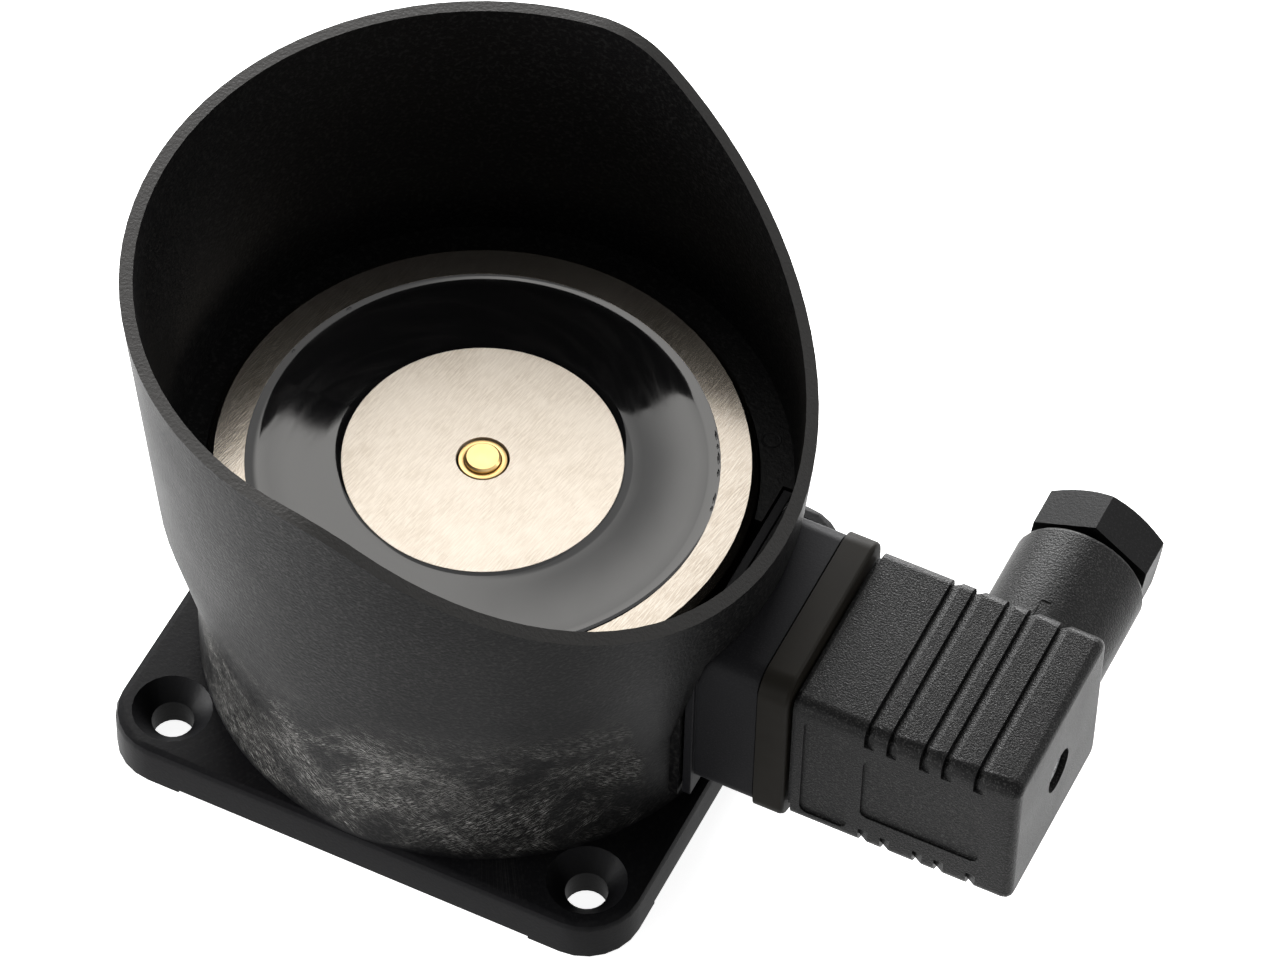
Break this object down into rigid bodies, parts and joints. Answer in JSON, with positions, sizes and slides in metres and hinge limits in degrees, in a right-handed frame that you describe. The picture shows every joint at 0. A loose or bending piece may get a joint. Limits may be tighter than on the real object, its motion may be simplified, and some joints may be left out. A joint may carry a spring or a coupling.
{
  "type": "holding electromagnet",
  "caption": "Round holding electromagnet with sprung ejector pin in a flanged black housing with a sloping guard collar, and a right-angle plug connector with cable gland.",
  "frame": {"origin": "on the magnet axis, in the plane that the four flange pads stand on", "axes": "+Z out of the pole face, +X along the plug connector, +Y along the cable gland"},
  "size_m": [0.1398, 0.099, 0.0881],
  "materials": {
    "housing_plastic": "satin black glass-filled plastic, scuffed outside",
    "pot_steel": "ground pole face",
    "core_steel": "ground pole face",
    "bobbin_nylon": "plain moulded",
    "winding_copper": "enamelled copper",
    "potting_resin": "gloss black cast resin",
    "lead_insulation": "insulated wire",
    "sleeve_brass": "turned",
    "pin_brass": "turned",
    "spring_steel": "drawn wire",
    "retainer_steel": "turned",
    "screw_zinc": "zinc plated",
    "washer_steel": "zinc plated",
    "base_plastic": "smooth black",
    "insert_brass": "turned",
    "blade_tin": "tinned",
    "gasket_rubber": "smooth brown-black rubber",
    "connector_plastic": "fine spark texture",
    "block_plastic": "moulded",
    "socket_brass": "formed",
    "terminal_zinc": "zinc plated",
    "seal_rubber": "moulded",
    "gland_rubber": "moulded",
    "clamp_steel": "stamped",
    "nut_plastic": "smooth black"
  },
  "bodies": {
    "base": {"housing": "housing_plastic", "magnet_pot": "pot_steel", "inner_pole": "core_steel", "coil_bobbin": "bobbin_nylon", "coil_winding": "winding_copper", "potting_ring": "potting_resin", "coil_lead_1": "lead_insulation", "coil_lead_2": "lead_insulation", "guide_sleeve": "sleeve_brass", "ejector_spring": "spring_steel", "spring_retainer": "retainer_steel", "magnet_screw": "screw_zinc", "magnet_washer": "washer_steel", "plug_base": "base_plastic", "centre_insert": "insert_brass", "contact_blade_line": "blade_tin", "contact_blade_neutral": "blade_tin", "contact_blade_earth": "blade_tin", "gasket": "gasket_rubber"},
    "pin": {"ejector_pin": "pin_brass"},
    "connector": {"connector_housing": "connector_plastic", "contact_block": "block_plastic", "contact_socket_line": "socket_brass", "contact_socket_neutral": "socket_brass", "contact_socket_earth": "socket_brass", "terminal_screw_line": "terminal_zinc", "terminal_screw_neutral": "terminal_zinc", "terminal_screw_earth": "terminal_zinc", "centre_screw": "terminal_zinc", "screw_seal": "seal_rubber", "gland_seal": "gland_rubber"},
    "gland_clamp": {"gland_washer": "clamp_steel"},
    "gland_turner": {"gland_nut": "nut_plastic"}
  },
  "joints": [
    {"name": "pin_press", "type": "slide", "parent": "base", "child": "pin", "axis": [0, 0, -1], "range_m": [0, 0.0005], "stiffness_N_per_m": 400, "springref_m": -0.001, "deforming": ["ejector_spring"]},
    {"name": "connector_unplug", "type": "slide", "parent": "base", "child": "connector", "axis": [1, 0, 0], "range_m": [0, 0.024]},
    {"name": "gland_press", "type": "slide", "parent": "connector", "child": "gland_clamp", "axis": [0, -1, 0], "range_m": [0, 0.001]},
    {"name": "gland_turn", "type": "hinge", "parent": "gland_clamp", "child": "gland_turner", "pos_m": [0.0791, 0.0363, 0.0281], "axis": [0, -1, 0], "range_deg": [0, 256]}
  ],
  "couplings": [
    {"joint": "gland_press", "follows": "gland_turn", "m_per_rad": 0.00022282}
  ]
}
